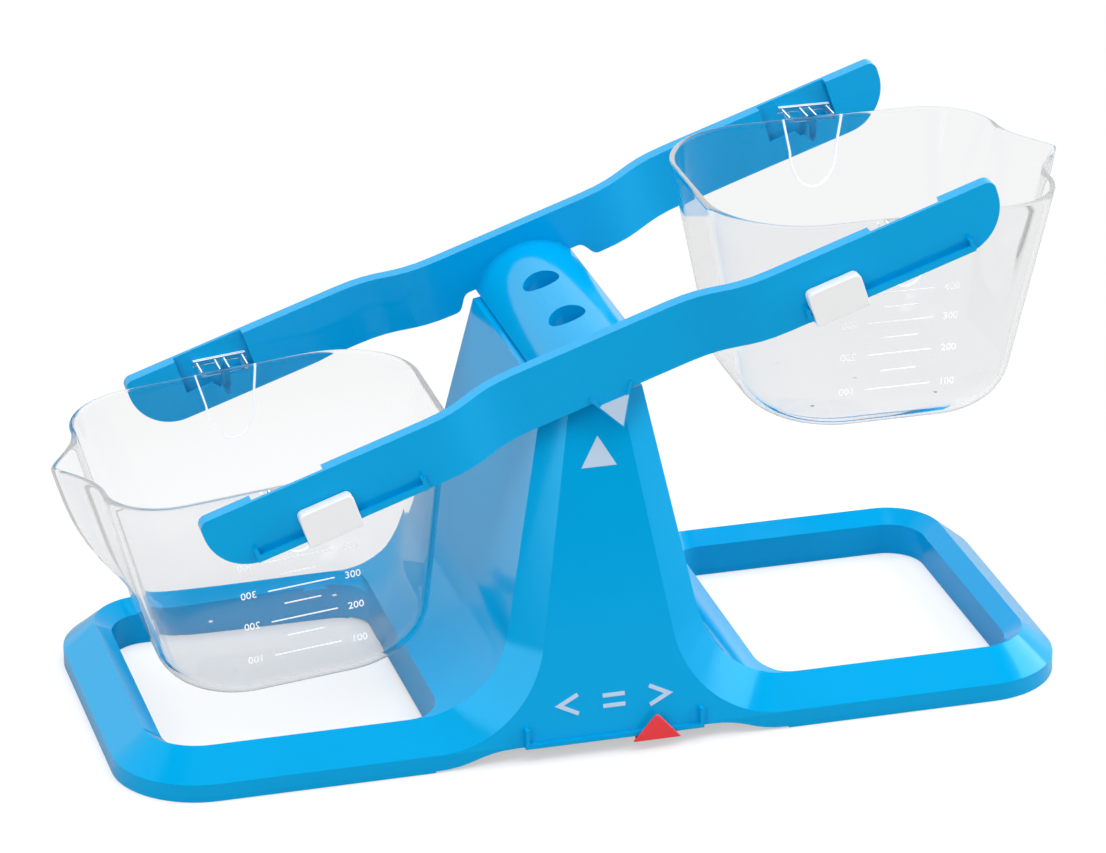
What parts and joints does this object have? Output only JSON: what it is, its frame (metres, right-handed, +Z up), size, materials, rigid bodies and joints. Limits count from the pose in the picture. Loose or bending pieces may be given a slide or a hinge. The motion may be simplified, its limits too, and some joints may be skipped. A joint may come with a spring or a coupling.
{
  "type": "bucket balance scale",
  "caption": "Free-standing balance: a looped base with a tapered tower, a rocking beam of paired rails, clear hanging buckets, sliding compensators and a sliding marker.",
  "frame": {"origin": "middle of the base, on the table", "axes": "+Z up, +X along the beam to the right, -Y towards the front with the pointer and the marker"},
  "size_m": [0.3552, 0.1455, 0.1865],
  "materials": {
    "blue_plastic": "smooth moulded, satin gloss",
    "clear_plastic": "clear, polished, with white printed marks",
    "white_plastic": "smooth moulded",
    "red_plastic": "smooth moulded"
  },
  "bodies": {
    "base": {"base": "blue_plastic"},
    "beam": {"beam": "blue_plastic"},
    "bucket_left": {"bucket_left": "clear_plastic"},
    "bucket_right": {"bucket_right": "clear_plastic"},
    "compensator_left": {"compensator_left": "white_plastic"},
    "compensator_right": {"compensator_right": "white_plastic"},
    "marker": {"marker": "red_plastic"}
  },
  "joints": [
    {"name": "beam_rock", "type": "hinge", "parent": "base", "child": "beam", "pos_m": [0, 0, 0.1333], "axis": [0, 1, 0], "range_deg": [0, 37.26]},
    {"name": "left_bucket_swing", "type": "hinge", "parent": "beam", "child": "bucket_left", "pos_m": [-0.10263, 0, 0.09184], "axis": [0, 1, 0], "range_deg": [-31.61, 0]},
    {"name": "right_bucket_swing", "type": "hinge", "parent": "beam", "child": "bucket_right", "pos_m": [0.10679, 0, 0.16244], "axis": [0, 1, 0], "range_deg": [-37.26, 0]},
    {"name": "left_compensator_slide", "type": "slide", "parent": "beam", "child": "compensator_left", "axis": [0.9476, 0, 0.3195], "range_m": [-0.0155, 0.0225]},
    {"name": "right_compensator_slide", "type": "slide", "parent": "beam", "child": "compensator_right", "axis": [0.9476, 0, 0.3195], "range_m": [0, 0.038]},
    {"name": "marker_slide", "type": "slide", "parent": "base", "child": "marker", "axis": [1, 0, 0], "range_m": [-0.03525, 0.00685]}
  ],
  "couplings": [
    {"joint": "left_bucket_swing", "follows": "beam_rock", "ratio": -0.84836},
    {"joint": "right_bucket_swing", "follows": "beam_rock", "ratio": -1}
  ]
}
